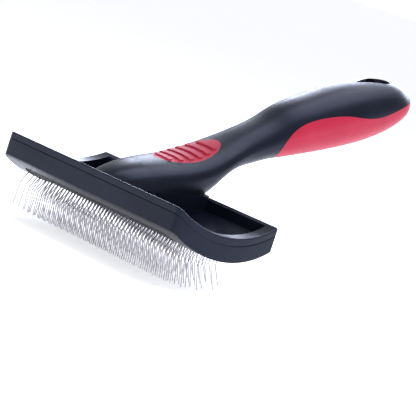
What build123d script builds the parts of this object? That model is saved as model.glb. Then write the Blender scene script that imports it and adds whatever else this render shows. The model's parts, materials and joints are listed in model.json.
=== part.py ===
from build123d import *
import math
import os

# Slicker brush for pet grooming: a curved head with a bent-wire pin pad and a two-tone handle.
# Millimetres, +Z up, +Y along the handle, +X across the head.
# Heights are taken from the head's rim corners first, then everything is lifted
# so that the lowest pin tip stands at Z = 0.

# ---- driving dimensions -------------------------------------------------------------
HEAD_HALF_X = 59.0       # half width of the head at its four corners
HEAD_HALF_Y = 29.0       # half depth of the head
END_BULGE = 2.0          # how far each end bows outwards at mid depth
RIM_DIP = 8.1            # how far the rim sinks at mid depth
FRONT_CORNER = 3.2       # plan radius of the two front corners
BACK_CORNER = 1.2        # plan radius of the two back corners

RIM_ROUND = 0.5          # edge radius of the rim
BAND = 3.2               # height of the cover's visible rim band
GROOVE = 0.4             # height and depth of the parting groove under it
HEAD_HEIGHT = 10.6       # rim to underside, at every depth
SKIRT_WALL = 1.2
FIT = 0.05               # play between two fixed mouldings
TRAY_DEPTH = 4.6         # rim to tray floor
FLOOR = 1.4              # thickness of the tray floor
END_LEDGE = 5.6          # width of the rim's flat top at the two ends
SIDE_LEDGE = 2.3         # width of the rim's flat top along the front and the back

BEZEL = 1.4              # thickness of the underside frame
PAD_X = 52.0             # half width of the frame's opening
PAD_FRONT = -23.6
PAD_BACK = 17.0
PAD_LIP = 1.9            # how far the pad's flange reaches behind the frame
PAD_GAP = 0.3            # running clearance round the floating pad
PAD_TRAVEL = 1.2         # how far the pad can sink into its foam
FLANGE = 0.9             # thickness of the pad's flange

WIRE = 0.45              # pin wire diameter
ROOT_LENGTH = 6.7        # pad face to knee
TIP_LENGTH = 10.4        # knee to tip
ROOT_LEAN = 11.0         # degrees forward of the pad's own normal
TIP_LEAN = -19.0         # degrees, backwards
KNEE_RADIUS = 1.2
ROWS = 10
ROW_FRONT = -20.0
ROW_PITCH = 3.6
COLUMNS = 24
COLUMN_PITCH = 4.2

SEAM_Y = -6.6            # where the handle meets the head's nose
SEAT_FRONT = -3.0        # height of the handle's seat at the seam
SEAT_SLOPE = 0.10        # its rise per millimetre towards the back
NECK_HALF_X = 15.5
GRIP_SKIN = 2.4          # thickness of the soft grip
PAD_SKIN = 1.8           # thickness of the thumb pad below its ribs

# ---- the head's common curve --------------------------------------------------------
CURVE_R = (HEAD_HALF_Y ** 2 + RIM_DIP ** 2) / (2 * RIM_DIP)
CURVE_CENTRE = CURVE_R - RIM_DIP


def curve_z(y, drop=0.0):
    """Height of the head's curve at depth y, lowered by drop."""
    return CURVE_CENTRE - drop - math.sqrt(CURVE_R ** 2 - y ** 2)


def slab(top, bottom):
    """A curved layer of the head between two drops below the rim, wider than the head."""
    reach = HEAD_HALF_Y + 3
    upper = ThreePointArc((-reach, curve_z(reach, top)), (0, curve_z(0, top)), (reach, curve_z(reach, top)))
    lower = ThreePointArc((reach, curve_z(reach, bottom)), (0, curve_z(0, bottom)),
                          (-reach, curve_z(reach, bottom)))
    back = Line(upper @ 1, lower @ 0)
    front = Line(lower @ 1, upper @ 0)
    face = make_face([upper, back, lower, front])
    return extrude(Plane.YZ * face, amount=HEAD_HALF_X + 6, both=True)


def plan(inset, end_inset=None, front_inset=None, back_inset=None):
    """A tall prism with the head's outline, moved inwards by the given insets."""
    half = HEAD_HALF_X - (inset if end_inset is None else end_inset)
    front = -HEAD_HALF_Y + (inset if front_inset is None else front_inset)
    back = HEAD_HALF_Y - (inset if back_inset is None else back_inset)
    middle = (front + back) / 2
    right = ThreePointArc((half, front), (half + END_BULGE, middle), (half, back))
    left = ThreePointArc((-half, back), (-half - END_BULGE, middle), (-half, front))
    face = make_face([Line((-half, front), (half, front)), right, Line((half, back), (-half, back)), left])
    corners = face.vertices().sort_by(Axis.Y)
    face = fillet(corners[:2], max(FRONT_CORNER - inset, 0.8))
    corners = face.vertices().sort_by(Axis.Y)
    face = fillet(corners[-2:], max(BACK_CORNER - inset, 0.4))
    return Pos(0, 0, -40) * extrude(face, amount=80)


def window(grow, radius):
    """A tall prism with the pin pad's outline, grown by the given amount."""
    width = 2 * (PAD_X + grow)
    depth = PAD_BACK - PAD_FRONT + 2 * grow
    middle = (PAD_BACK + PAD_FRONT) / 2
    return Pos(0, middle, -40) * extrude(RectangleRounded(width, depth, radius), amount=80)


# ---- the handle's form --------------------------------------------------------------
# Each section runs from a point on the top ridge to a point on the underside:
# (ridge y, ridge z, under y, under z, half width).
SECTIONS = [
    (-25.0, -3.5, 30.0, -9.0, 15.0),
    (-15.0, 3.2, 30.6, -5.0, 15.6),
    (-4.0, 7.4, 31.2, -1.6, 15.9),
    (9.0, 11.2, 34.0, 2.4, 16.0),
    (24.0, 16.6, 37.5, 8.0, 15.2),
    (37.5, 23.8, 44.0, 12.8, 13.2),
    (50.0, 31.6, 55.5, 17.0, 11.8),
    (63.0, 40.4, 69.5, 21.6, 12.4),
    (77.0, 49.8, 84.5, 26.2, 14.0),
    (92.0, 57.2, 99.5, 31.2, 15.0),
    (107.0, 63.4, 115.0, 37.2, 15.2),
    (121.0, 67.4, 129.0, 44.4, 14.4),
    (132.5, 68.4, 138.0, 51.2, 12.2),
    (140.0, 66.0, 142.6, 56.4, 7.6),
]
SQUARENESS = 2.25
SIDES = 16


def section(ridge_y, ridge_z, under_y, under_z, half_x, skin=0.0):
    """One rounded cross-section of the handle, shrunk by skin all round."""
    height = math.hypot(ridge_y - under_y, ridge_z - under_z)
    up = Vector(0, (ridge_y - under_y) / height, (ridge_z - under_z) / height)
    centre = Vector(0, (ridge_y + under_y) / 2, (ridge_z + under_z) / 2)
    points = []
    for i in range(SIDES):
        angle = 2 * math.pi * i / SIDES
        c, s = math.cos(angle), math.sin(angle)
        across = math.copysign(abs(c) ** (2 / SQUARENESS), c) * (half_x - skin)
        along = math.copysign(abs(s) ** (2 / SQUARENESS), s) * (height / 2 - skin)
        points.append(centre + up * along + Vector(across, 0, 0))
    return Face(Wire([Spline(*points, periodic=True)]))


def handle_form(skin=0.0):
    """The whole nose, neck and grip as one smooth solid."""
    faces = [section(*s, skin=skin) for s in SECTIONS]
    tail = SECTIONS[-1]
    tip = Vertex(0, (tail[0] + tail[2]) / 2 + 2.6 - skin, (tail[1] + tail[3]) / 2 + 0.9)
    return Solid.make_loft([f.outer_wire() for f in faces] + [tip])


def side_prism(points, half_x=40.0):
    """A solid whose outline in the side view runs through the given (y, z) points."""
    face = make_face(Plane.YZ * Polyline(*points, close=True))
    return extrude(face, amount=half_x, both=True)


def seat_z(y):
    """Height of the plane on which the handle sits."""
    return SEAT_FRONT + SEAT_SLOPE * (y - SEAM_Y)


def rod(radius, y, z_low, z_high, x=0.0):
    """An upright cylinder between two heights."""
    return Pos(x, y, z_low) * Cylinder(radius, z_high - z_low, align=(Align.CENTER, Align.CENTER, Align.MIN))


# ---- fasteners ----------------------------------------------------------------------
NECK_SCREW_Y = (2.0, 14.0)
NECK_SHANK = 2.0         # radius
NECK_HEAD = 3.5          # radius
NECK_HEAD_HIGH = 2.4
NECK_BITE = 7.0          # how far each screw enters the handle
BEZEL_SCREWS = [(-46.0, 22.6), (0.0, 22.6), (46.0, 22.6), (-57.0, -11.0), (57.0, -11.0)]
BEZEL_SHANK = 0.9        # radius
BEZEL_HEAD = 1.7         # radius
BOSS = 2.3               # radius


def neck_head_top(y):
    """Top of a neck screw's head, which is sunk into the plinth from below."""
    return curve_z(y, TRAY_DEPTH + FLOOR) + 1.0 + NECK_HEAD_HIGH


def neck_screws():
    """Two screws that pull the handle down onto the head's plinth."""
    screws = []
    for y in NECK_SCREW_Y:
        top = neck_head_top(y)
        head = rod(NECK_HEAD, y, top - NECK_HEAD_HIGH, top)
        drive = Pos(0, y, top - NECK_HEAD_HIGH) * Box(4.2, 0.9, 2.0)
        shank = rod(NECK_SHANK, y, top, seat_z(y) + NECK_BITE)
        screws.append(head + shank - drive)
    return Compound(children=screws)


def bezel_screws():
    """Five small screws that hold the underside frame to the cover's bosses."""
    screws = []
    for x, y in BEZEL_SCREWS:
        face = curve_z(y, HEAD_HEIGHT)
        head = rod(BEZEL_HEAD, y, face + 0.5, face + 1.2, x)
        shank = rod(BEZEL_SHANK, y, face + 1.2, face + 4.4, x)
        drive = Pos(x, y, face + 0.5) * Box(2.2, 0.5, 0.6)
        screws.append(head + shank - drive)
    return Compound(children=screws)


# ---- head ---------------------------------------------------------------------------
TENON_X = 8.0            # half width
TENON_LOW = -9.0
TENON_HIGH = -1.6
TENON_FRONT = -18.0


def tenon(grow=0.0):
    """The handle's tongue that slides into the head's nose."""
    length = SEAM_Y - TENON_FRONT
    height = TENON_HIGH - TENON_LOW
    block = Box(2 * (TENON_X + grow), length + 2 * grow, height + 2 * grow)
    return Pos(0, SEAM_Y - length / 2, (TENON_HIGH + TENON_LOW) / 2) * block


def front_of_seam():
    return Pos(0, SEAM_Y - 50, 0) * Box(200, 100, 200)


def below_seat():
    far = 70.0
    return side_prism([(-60, -60), (far, -60), (far, seat_z(far)), (-60, seat_z(-60))])


def plinth():
    """The block on the tray floor that the neck stands on."""
    front = SEAM_Y - 1.0
    back = HEAD_HALF_Y - SKIRT_WALL - FIT
    outline = Pos(0, (front + back) / 2, -40) * extrude(
        RectangleRounded(2 * NECK_HALF_X + 2.0, back - front, 3.0), amount=80)
    return outline & below_seat() & slab(-20, TRAY_DEPTH + 0.2)


def tray_cover(form):
    """Rim, recessed tray, nose socket and plinth in one moulding."""
    band = plan(0) & slab(0, BAND)
    curved = band.faces().filter_by(GeomType.CYLINDER).sort_by(SortBy.AREA)[-2:]
    band = fillet(curved.sort_by(Axis.Z)[-1].edges(), RIM_ROUND)
    neck_of_groove = plan(GROOVE) & slab(BAND - 0.1, BAND + GROOVE)
    plug = plan(SKIRT_WALL + FIT) & slab(BAND + GROOVE - 0.1, TRAY_DEPTH + FLOOR)
    body = band + neck_of_groove + plug
    recess = plan(0, END_LEDGE, SIDE_LEDGE, SIDE_LEDGE) & slab(-20, TRAY_DEPTH)
    body -= recess
    nose = form & front_of_seam() & slab(-20, TRAY_DEPTH + 0.2) & plan(SKIRT_WALL + FIT)
    body = body + nose + plinth()
    for x, y in BEZEL_SCREWS:
        base = curve_z(y, HEAD_HEIGHT)
        boss = rod(BOSS, y, base - 3, base + HEAD_HEIGHT, x)
        body += boss & plan(SKIRT_WALL + FIT) & slab(TRAY_DEPTH + 0.3, HEAD_HEIGHT - BEZEL - FIT)
        body -= rod(BEZEL_SHANK + FIT, y, base - 3, base + 4.5, x)
        body -= rod(BEZEL_HEAD + FIT, y, base - 3, base + 1.2 + FIT, x)
    body -= tenon(FIT)
    for y in NECK_SCREW_Y:
        body -= rod(NECK_SHANK + FIT, y, -30, 30)
        body -= rod(NECK_HEAD + FIT, y, -30, neck_head_top(y) + FIT)
    return body


def head_skirt():
    """The textured outer wall."""
    top = BAND + GROOVE
    wall = plan(0) & slab(top, HEAD_HEIGHT)
    return wall - plan(SKIRT_WALL)


def pad_bezel():
    """The underside frame that keeps the floating pad in."""
    frame = plan(SKIRT_WALL + FIT) & slab(HEAD_HEIGHT - BEZEL, HEAD_HEIGHT)
    frame -= window(0, 7.0)
    for x, y in BEZEL_SCREWS:
        face = curve_z(y, HEAD_HEIGHT)
        frame -= rod(BEZEL_SHANK + FIT, y, face - 2, face + 4, x)
        frame -= rod(BEZEL_HEAD + FIT, y, face - 2, face + 1.2, x)
    return frame


# ---- pad and pins -------------------------------------------------------------------
FLANGE_BOTTOM = HEAD_HEIGHT - BEZEL - PAD_GAP
FLANGE_TOP = FLANGE_BOTTOM - FLANGE
PAD_FACE = HEAD_HEIGHT - 0.5


def pin_pad():
    """The stiff pad that carries the pins, with a flange behind the frame."""
    flange = window(PAD_LIP, 7.0 + PAD_LIP) & slab(FLANGE_TOP, FLANGE_BOTTOM)
    face = window(-PAD_GAP, 7.0 - PAD_GAP) & slab(FLANGE_BOTTOM - 0.1, PAD_FACE)
    return flange + face


def foam_cushion():
    """The foam between the tray floor and the pad."""
    return window(PAD_LIP - 0.3, 7.0) & slab(TRAY_DEPTH + FLOOR + FIT, FLANGE_TOP - FIT)


def pin(y):
    """One bent wire pin, at x = 0, rooted in the pad at depth y."""
    tilt = math.degrees(math.asin(y / CURVE_R))

    def heading(lean):
        turn = math.radians(lean - tilt)
        return Vector(0, -math.sin(turn), -math.cos(turn))

    root = Vector(0, y, curve_z(y, PAD_FACE)) - heading(ROOT_LEAN) * 1.0
    knee = root + heading(ROOT_LEAN) * (ROOT_LENGTH + 1.0)
    tip = knee + heading(TIP_LEAN) * TIP_LENGTH
    path = FilletPolyline(root, knee, tip, radius=KNEE_RADIUS)
    start = Plane(origin=root, z_dir=heading(ROOT_LEAN))
    return sweep(start * Circle(WIRE / 2), path=path)


def pin_row(index):
    """One row of pins across the head; alternate rows are staggered by half a pitch."""
    y = ROW_FRONT + index * ROW_PITCH
    count = COLUMNS - index % 2
    master = pin(y)
    first = -(count - 1) / 2 * COLUMN_PITCH
    return Compound(children=[Pos(first + i * COLUMN_PITCH, 0, 0) * master for i in range(count)])


# ---- handle -------------------------------------------------------------------------
# The grip's edge seen from the side, as (y, z), from the underside to the tail.
GRIP_OUTLINE = [(66, 21), (64.5, 24), (64.8, 28), (67, 34), (72, 39.6), (79, 43.6), (88, 47),
                (98, 49.4), (106, 50.2), (114, 51.5), (121, 54), (129, 58.2), (137, 62.2), (146, 67.5)]
THUMB_Y = 20.3           # centre of the thumb pad's oval
THUMB_HALF_X = 10.2
THUMB_HALF_Y = 16.0
RIBS = 6
RIB_FIRST = 8.3
RIB_PITCH = 4.5
RIB_WIDTH = 2.2
RIB_HEIGHT = 0.9
HOLE_Y = 124.0           # centre of the hang hole's round end
HOLE_R = 5.2
HOLE_APEX = 109.0


def grip_zone():
    """Everything below the grip's edge line, seen from the side."""
    edge = Spline(*GRIP_OUTLINE)
    last, first = GRIP_OUTLINE[-1], GRIP_OUTLINE[0]
    rest = Polyline(last, (160, 67.5), (160, 0), (first[0] + 6, 0), first)
    return extrude(Plane.YZ * make_face([edge, rest]), amount=40, both=True)


def thumb_zone():
    """The thumb pad's oval outline, seen from above, kept to the top of the neck."""
    oval = extrude(Ellipse(THUMB_HALF_X, THUMB_HALF_Y), amount=90)
    return Pos(0, THUMB_Y, -20) * oval & side_prism([(-20, -7), (60, 29), (60, 90), (-20, 90)])


def hang_hole():
    """An upright teardrop prism through the handle's end."""
    reach = HOLE_Y - HOLE_APEX
    angle = math.acos(HOLE_R / reach)
    side_x, side_y = HOLE_R * math.sin(angle), -HOLE_R * math.cos(angle)
    arc = ThreePointArc((side_x, side_y), (0, HOLE_R), (-side_x, side_y))
    face = make_face([Line((0, -reach), (side_x, side_y)), arc, Line((-side_x, side_y), (0, -reach))])
    return Pos(0, HOLE_Y, 58) * extrude(face, amount=60, both=True)


def ribs():
    """Upright prisms for the thumb pad's rounded cross ribs."""
    bars = []
    for i in range(RIBS):
        y = RIB_FIRST + i * RIB_PITCH
        half = THUMB_HALF_X * math.sqrt(1 - ((y - THUMB_Y) / THUMB_HALF_Y) ** 2) - 1.4
        bars.append(Pos(0, y, -20) * extrude(SlotOverall(2 * half, RIB_WIDTH), amount=90))
    return bars


def handle_parts(form):
    """Core, soft grip and thumb pad, cut from the one smooth form."""
    seated = form - front_of_seam() - below_seat()
    seated -= hang_hole()
    inner = handle_form(GRIP_SKIN)
    grip = (seated & grip_zone()) - inner
    inset = handle_form(PAD_SKIN)
    thumb = (seated & thumb_zone()) - inset
    core = seated - grip_zone() - thumb_zone()
    core = core + (seated & inner) + (seated & inset & thumb_zone())
    core = core + tenon()
    for y in NECK_SCREW_Y:
        core -= rod(NECK_SHANK, y, -30, seat_z(y) + NECK_BITE + 0.3)
    raised = (handle_form(-RIB_HEIGHT) & thumb_zone()) - inset
    for bar in ribs():
        thumb = thumb + (raised & bar)
    return core, grip, thumb


# ---- build --------------------------------------------------------------------------
def main():
    form = handle_form()
    core, grip, thumb = handle_parts(form)
    nodes = {
        "tray_cover": tray_cover(form),
        "head_skirt": head_skirt(),
        "pad_bezel": pad_bezel(),
        "foam_cushion": foam_cushion(),
        "pin_pad": pin_pad(),
        "bezel_screws": bezel_screws(),
        "neck_screws": neck_screws(),
        "handle_core": core,
        "palm_grip": grip,
        "thumb_pad": thumb,
    }
    for index in range(ROWS):
        nodes[f"pin_row_{index + 1:02d}"] = pin_row(index)
    boxes = [shape.bounding_box() for shape in nodes.values()]
    lowest = min(box.min.Z for box in boxes)
    middle = (min(box.min.Y for box in boxes) + max(box.max.Y for box in boxes)) / 2
    os.makedirs("parts", exist_ok=True)
    for name, shape in nodes.items():
        shape.label = name
        export_step(Pos(0, -middle, -lowest) * shape, f"parts/{name}.step")


main()
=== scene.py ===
import json
import math
import random

import bpy
from mathutils import Matrix, Vector


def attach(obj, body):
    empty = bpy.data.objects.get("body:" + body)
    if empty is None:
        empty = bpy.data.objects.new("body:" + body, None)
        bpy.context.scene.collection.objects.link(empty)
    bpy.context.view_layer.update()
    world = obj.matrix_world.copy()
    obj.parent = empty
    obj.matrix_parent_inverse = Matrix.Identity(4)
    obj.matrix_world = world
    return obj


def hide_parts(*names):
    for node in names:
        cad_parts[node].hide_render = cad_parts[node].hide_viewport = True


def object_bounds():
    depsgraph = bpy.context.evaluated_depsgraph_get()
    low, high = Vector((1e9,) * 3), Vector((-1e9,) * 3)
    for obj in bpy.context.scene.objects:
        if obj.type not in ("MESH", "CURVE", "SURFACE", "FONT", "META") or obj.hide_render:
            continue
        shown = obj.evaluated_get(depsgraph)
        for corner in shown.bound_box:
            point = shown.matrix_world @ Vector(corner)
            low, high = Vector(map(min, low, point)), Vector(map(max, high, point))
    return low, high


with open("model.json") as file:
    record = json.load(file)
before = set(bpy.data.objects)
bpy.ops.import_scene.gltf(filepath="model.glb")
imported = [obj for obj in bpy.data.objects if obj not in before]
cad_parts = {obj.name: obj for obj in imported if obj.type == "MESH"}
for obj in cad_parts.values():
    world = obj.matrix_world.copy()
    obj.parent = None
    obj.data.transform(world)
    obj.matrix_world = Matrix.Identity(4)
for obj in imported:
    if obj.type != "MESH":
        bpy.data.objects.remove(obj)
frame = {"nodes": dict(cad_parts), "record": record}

# Slicker brush: finish of every piece, the foam behind the pin pad and the studio.
# Metres, in the frame of the CAD model.

CAD_LOW, CAD_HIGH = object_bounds()
MM = 0.001
random.seed(7)

# ---- materials ----------------------------------------------------------------------


class Nodes:
    """A short way to build one node material."""

    def __init__(self, name):
        self.material = bpy.data.materials.new(name)
        self.material.use_nodes = True
        self.tree = self.material.node_tree
        self.shader = self.tree.nodes["Principled BSDF"]
        self.place = self.tree.nodes.new("ShaderNodeTexCoord").outputs["Object"]

    def set(self, **values):
        for name, value in values.items():
            self.shader.inputs[name.replace("_", " ")].default_value = value

    def noise(self, scale, detail=3.0, roughness=0.55, stretch=None):
        node = self.tree.nodes.new("ShaderNodeTexNoise")
        node.inputs["Scale"].default_value = scale
        node.inputs["Detail"].default_value = detail
        node.inputs["Roughness"].default_value = roughness
        place = self.place
        if stretch:
            mapping = self.tree.nodes.new("ShaderNodeMapping")
            mapping.inputs["Scale"].default_value = stretch
            self.tree.links.new(place, mapping.inputs["Vector"])
            place = mapping.outputs["Vector"]
        self.tree.links.new(place, node.inputs["Vector"])
        return node.outputs["Fac"]

    def ramp(self, value, stops, target):
        """Feeds value through a colour ramp of (position, colour) stops to a shader socket."""
        node = self.tree.nodes.new("ShaderNodeValToRGB")
        elements = node.color_ramp.elements
        while len(elements) < len(stops):
            elements.new(0.5)
        for element, (position, colour) in zip(elements, stops):
            element.position = position
            element.color = colour if len(colour) == 4 else (*colour, 1.0)
        self.tree.links.new(value, node.inputs["Fac"])
        self.tree.links.new(node.outputs["Color"], self.shader.inputs[target])

    def span(self, value, low, high, target):
        """Maps 0..1 to low..high on a scalar shader socket."""
        node = self.tree.nodes.new("ShaderNodeMapRange")
        node.inputs["To Min"].default_value = low
        node.inputs["To Max"].default_value = high
        self.tree.links.new(value, node.inputs["Value"])
        self.tree.links.new(node.outputs["Result"], self.shader.inputs[target])

    def bump(self, value, strength, depth):
        node = self.tree.nodes.new("ShaderNodeBump")
        node.inputs["Strength"].default_value = strength
        node.inputs["Distance"].default_value = depth
        self.tree.links.new(value, node.inputs["Height"])
        self.tree.links.new(node.outputs["Normal"], self.shader.inputs["Normal"])


def moulded_plastic(name, dark, light, rough, grain, bump):
    """Dark moulded plastic: faint colour drift, uneven gloss and a fine grain."""
    m = Nodes(name)
    m.ramp(m.noise(38, 4), [(0.35, dark), (0.65, light)], "Base Color")
    m.span(m.noise(160, 5), rough - 0.07, rough + 0.07, "Roughness")
    m.bump(m.noise(grain, 3, 0.7), bump, 0.05 * MM)
    m.set(Specular_IOR_Level=0.3, Specular_Tint=(0.66, 0.74, 1.0, 1.0))
    return m.material


def soft_rubber(name, dark, light, rough):
    """Soft-touch rubber: matt, slightly mottled, with a light sheen at grazing angles."""
    m = Nodes(name)
    m.ramp(m.noise(45, 4), [(0.3, dark), (0.7, light)], "Base Color")
    m.span(m.noise(220, 4), rough - 0.06, rough + 0.06, "Roughness")
    m.bump(m.noise(2600, 2, 0.6), 0.25, 0.04 * MM)
    m.set(Specular_IOR_Level=0.4, Sheen_Weight=0.05, Sheen_Roughness=0.45, Subsurface_Weight=0.04,
          Subsurface_Scale=0.002)
    return m.material


def pad_rubber(name):
    """The dark pad that holds the wires."""
    m = Nodes(name)
    m.ramp(m.noise(70, 4), [(0.3, (0.012, 0.012, 0.016)), (0.7, (0.022, 0.022, 0.03))], "Base Color")
    m.span(m.noise(300, 3), 0.62, 0.8, "Roughness")
    m.bump(m.noise(1500, 3), 0.4, 0.06 * MM)
    return m.material


def open_foam(name):
    """Grey open-cell foam."""
    m = Nodes(name)
    m.ramp(m.noise(900, 5, 0.7), [(0.3, (0.10, 0.10, 0.11)), (0.7, (0.30, 0.30, 0.32))], "Base Color")
    m.bump(m.noise(1400, 4, 0.8), 0.9, 0.3 * MM)
    m.set(Roughness=0.95)
    return m.material


def drawn_wire(name, dark, light, rough):
    """Bright drawn steel with faint draw lines along the wire."""
    m = Nodes(name)
    m.ramp(m.noise(500, 3, stretch=(1, 1, 0.15)), [(0.3, dark), (0.7, light)], "Base Color")
    m.span(m.noise(900, 3, stretch=(1, 1, 0.1)), rough - 0.08, rough + 0.08, "Roughness")
    m.bump(m.noise(6000, 2, stretch=(1, 1, 0.08)), 0.15, 0.02 * MM)
    m.set(Metallic=1.0)
    return m.material


FINISH = {
    "head_plastic": moulded_plastic(
        "head_plastic", (0.003, 0.004, 0.010), (0.006, 0.007, 0.016), 0.3, 1500, 0.15
    ),
    "head_textured": moulded_plastic(
        "head_textured", (0.004, 0.005, 0.011), (0.008, 0.009, 0.019), 0.45, 2400, 1.0
    ),
    "handle_plastic": moulded_plastic(
        "handle_plastic", (0.003, 0.004, 0.010), (0.006, 0.007, 0.016), 0.38, 2200, 0.7
    ),
    "grip_rubber": soft_rubber("grip_rubber", (0.42, 0.006, 0.035), (0.52, 0.010, 0.048), 0.52),
    "pad_plastic": pad_rubber("pad_plastic"),
    "foam": open_foam("foam"),
    "pin_wire": drawn_wire("pin_wire", (0.30, 0.29, 0.31), (0.62, 0.60, 0.62), 0.24),
    "screw_steel": drawn_wire("screw_steel", (0.42, 0.42, 0.44), (0.6, 0.6, 0.62), 0.35),
}


def finish_node(node, slot):
    """Gives a CAD node its material."""
    item = frame["nodes"][node]
    material = FINISH[slot]
    if not item.material_slots:
        item.data.materials.append(material)
    for place in item.material_slots:
        place.material = material


for part in frame["record"]["subparts"]:
    finish_node(part["node"], part["material_slot"])

# ---- foam ---------------------------------------------------------------------------
FOAM_CELL = 1.1 * MM
FOAM_DIP = (0.02, 0.14)              # how far the skin sinks, mm


def foam_piece():
    """The cushion behind the pin pad: an open-cell sheet with a softly uneven skin."""
    source = frame["nodes"]["foam_cushion"]
    foam = bpy.data.objects.new("foam_sheet", source.data.copy())
    bpy.context.collection.objects.link(foam)
    foam.matrix_world = source.matrix_world.copy()
    remesh = foam.modifiers.new("cells", "REMESH")
    remesh.mode = "VOXEL"
    remesh.voxel_size = FOAM_CELL / 2
    bpy.context.view_layer.update()
    ready = foam.evaluated_get(bpy.context.evaluated_depsgraph_get())
    foam.data = bpy.data.meshes.new_from_object(ready)
    foam.modifiers.clear()
    for vertex in foam.data.vertices:
        vertex.co -= vertex.normal * random.uniform(*FOAM_DIP) * MM
    foam.data.materials.clear()
    foam.data.materials.append(FINISH["foam"])
    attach(foam, "brush")
    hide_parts("foam_cushion")


foam_piece()

# ---- studio -------------------------------------------------------------------------
CAMERA_TURN = math.radians(45.3)     # from -Y towards +X
CAMERA_LIFT = math.radians(6.28)
CAMERA_ROLL = math.radians(18.0)
CAMERA_DISTANCE = 0.9875
CAMERA_LENS = 199.1                  # on a 36 mm wide sensor
FLOOR_SIZE = 40
FLOOR_GLOW = 0.55                    # keeps the paper white far from the lamps
WORLD_LIGHT = 0.5
WORLD_SEEN = 1.1                     # brightness of the bare background in the picture
# The point in the middle of the picture, as shares of the CAD box.
AIM_SHARE = Vector((0.682, 0.293, 0.300))


def studio_floor():
    bpy.ops.mesh.primitive_plane_add(size=FLOOR_SIZE, location=(0, 0, CAD_LOW.z))
    floor = bpy.context.object
    floor.name = "floor"
    m = Nodes("floor_paper")
    m.ramp(m.noise(3, 2), [(0.3, (0.86, 0.87, 0.89)), (0.7, (0.88, 0.89, 0.91))], "Base Color")
    m.set(Roughness=0.9, Specular_IOR_Level=0.1)
    m.set(Emission_Color=(1.0, 1.0, 1.0, 1.0), Emission_Strength=FLOOR_GLOW)
    floor.data.materials.append(m.material)


def area_light(name, place, aim, size, power, colour=(1, 1, 1)):
    data = bpy.data.lights.new(name, "AREA")
    data.shape = "RECTANGLE"
    data.size, data.size_y = size
    data.energy = power
    data.color = colour
    light = bpy.data.objects.new(name, data)
    light.location = place
    light.rotation_euler = (Vector(aim) - Vector(place)).to_track_quat("-Z", "Y").to_euler()
    bpy.context.collection.objects.link(light)


def studio_lights(middle):
    world = bpy.data.worlds.new("studio")
    bpy.context.scene.world = world
    world.use_nodes = True
    background = world.node_tree.nodes["Background"]
    background.inputs["Color"].default_value = (0.93, 0.95, 1.0, 1.0)
    paths = world.node_tree.nodes.new("ShaderNodeLightPath")
    strength = world.node_tree.nodes.new("ShaderNodeMapRange")
    strength.inputs["To Min"].default_value = WORLD_LIGHT
    strength.inputs["To Max"].default_value = WORLD_SEEN
    world.node_tree.links.new(paths.outputs["Is Camera Ray"], strength.inputs["Value"])
    world.node_tree.links.new(strength.outputs["Result"], background.inputs["Strength"])
    area_light("top_soft", middle + Vector((0.0, 0.25, 0.9)), middle, (0.9, 0.7), 7, (0.84, 0.88, 1.0))
    area_light("back_strip", middle + Vector((-0.5, 0.8, 0.45)), middle, (1.0, 0.35), 14, (0.76, 0.82, 1.0))
    area_light("front_soft", middle + Vector((0.9, -0.5, 0.35)), middle, (0.6, 0.6), 3, (1.0, 0.98, 0.96))


def studio_camera():
    box = CAD_HIGH - CAD_LOW
    target = CAD_LOW + Vector(box[i] * AIM_SHARE[i] for i in range(3))
    outward = Vector((
        math.sin(CAMERA_TURN) * math.cos(CAMERA_LIFT),
        -math.cos(CAMERA_TURN) * math.cos(CAMERA_LIFT),
        math.sin(CAMERA_LIFT),
    ))
    data = bpy.data.cameras.new("camera")
    data.lens = CAMERA_LENS
    data.sensor_width = 36.0
    camera = bpy.data.objects.new("camera", data)
    camera.matrix_world = (
        Matrix.Translation(target + outward * CAMERA_DISTANCE)
        @ outward.to_track_quat("Z", "Y").to_matrix().to_4x4()
        @ Matrix.Rotation(CAMERA_ROLL, 4, "Z")
    )
    data.clip_start = 0.05
    bpy.context.collection.objects.link(camera)
    bpy.context.scene.camera = camera


studio_floor()
studio_lights((CAD_LOW + CAD_HIGH) / 2)
studio_camera()
bpy.context.scene.view_settings.view_transform = "Standard"
